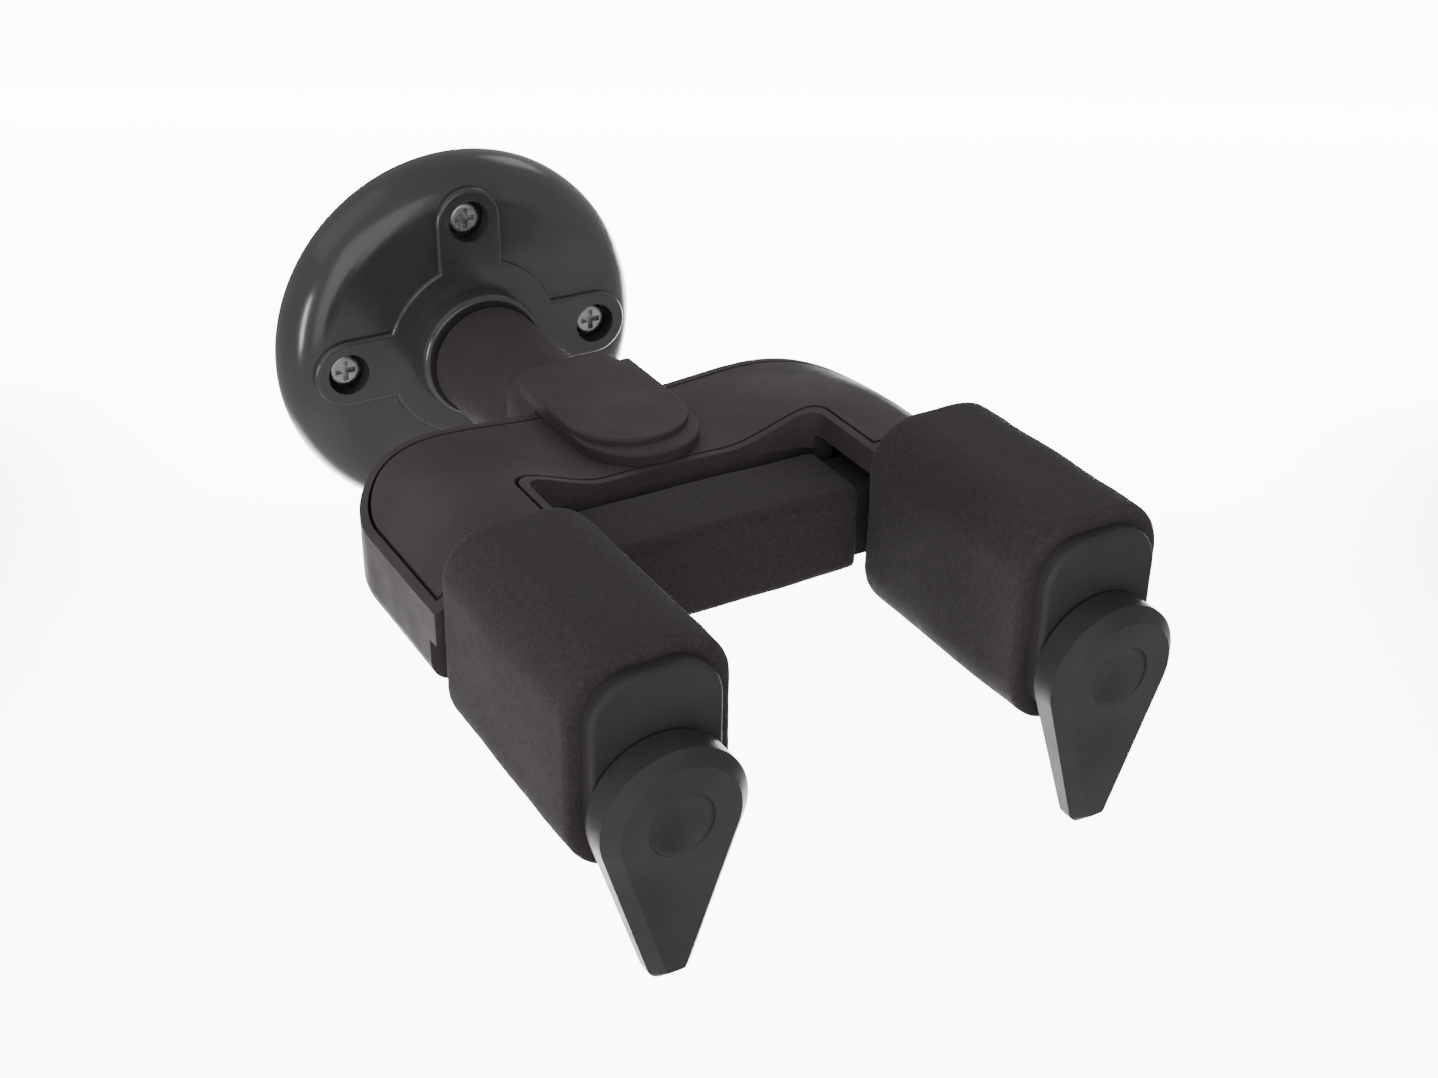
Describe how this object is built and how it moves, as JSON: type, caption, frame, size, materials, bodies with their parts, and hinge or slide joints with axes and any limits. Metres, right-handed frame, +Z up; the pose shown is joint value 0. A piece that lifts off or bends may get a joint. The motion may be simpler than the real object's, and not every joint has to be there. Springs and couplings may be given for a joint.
{
  "type": "wall guitar hanger",
  "caption": "Wall hanger for a guitar: a round wall plate, a swivelling neck and a padded U cradle that tilts under load and swings locking flaps across its front.",
  "frame": {"origin": "centre of the wall plate's back face, on the wall's surface", "axes": "+Y into the wall, -Y along the neck and out between the arms, +X to the right when facing the wall, +Z up"},
  "size_m": [0.094, 0.1656, 0.07],
  "materials": {
    "plate_plastic": "smooth moulded black with a slight gloss",
    "neck_paint": "satin black powder coat on cast metal",
    "casing_plastic": "satin black moulding",
    "frame_paint": "matt black paint on cast aluminium",
    "arm_foam": "dense black foam with a fine open texture",
    "cap_plastic": "matt black moulding",
    "flap_plastic": "polished black moulding",
    "plug_plastic": "satin black moulding",
    "screw_steel": "bright zinc plate",
    "machined_steel": "plain turned steel",
    "black_screw": "black oxide",
    "washer_acetal": "black acetal",
    "bearing_nylon": "natural nylon",
    "drive_acetal": "white acetal"
  },
  "bodies": {
    "wall_mount": {"wall_plate": "plate_plastic", "wall_screws": "screw_steel", "thrust_washer": "washer_acetal"},
    "yoke": {"neck_arm": "neck_paint", "retaining_washer": "machined_steel", "spring_washer": "machined_steel", "lock_nut": "machined_steel", "neck_bolts": "black_screw", "yoke_base": "casing_plastic", "yoke_lid": "casing_plastic", "lid_screws": "black_screw", "hinge_rod": "machined_steel", "rack_left": "drive_acetal", "rack_right": "drive_acetal", "return_spring_left": "machined_steel", "return_spring_right": "machined_steel"},
    "cradle": {"cradle_frame": "frame_paint", "crossbar_pad": "arm_foam", "foam_sleeve_left": "arm_foam", "foam_sleeve_right": "arm_foam", "end_cap_left": "cap_plastic", "end_cap_right": "cap_plastic", "front_bush_left": "bearing_nylon", "front_bush_right": "bearing_nylon", "rear_bush_left": "bearing_nylon", "rear_bush_right": "bearing_nylon"},
    "flap_arm_left": {"flap_shaft_left": "machined_steel", "pinion_left": "drive_acetal", "flap_left": "flap_plastic", "flap_screw_left": "black_screw", "flap_plug_left": "plug_plastic"},
    "flap_arm_right": {"flap_shaft_right": "machined_steel", "pinion_right": "drive_acetal", "flap_right": "flap_plastic", "flap_screw_right": "black_screw", "flap_plug_right": "plug_plastic"}
  },
  "joints": [
    {"name": "swivel", "type": "hinge", "parent": "wall_mount", "child": "yoke", "pos_m": [0, -0.0159, 0], "axis": [0, 1, 0], "continuous": true},
    {"name": "cradle_tilt", "type": "hinge", "parent": "yoke", "child": "cradle", "pos_m": [0, -0.097, 0.0036], "axis": [1, 0, 0], "range_deg": [0, 11], "stiffness_Nm_per_rad": 0.6, "springref_deg": -28.65, "deforming": ["return_spring_left", "return_spring_right"]},
    {"name": "flap_left_turn", "type": "hinge", "parent": "cradle", "child": "flap_arm_left", "pos_m": [-0.0348, -0.12, -0.0012], "axis": [0, 1, 0], "range_deg": [-89, 0]},
    {"name": "flap_right_turn", "type": "hinge", "parent": "cradle", "child": "flap_arm_right", "pos_m": [0.0348, -0.12, -0.0012], "axis": [0, 1, 0], "range_deg": [0, 89]}
  ],
  "couplings": [
    {"joint": "flap_left_turn", "follows": "cradle_tilt", "ratio": -8},
    {"joint": "flap_right_turn", "follows": "cradle_tilt", "ratio": 8}
  ]
}
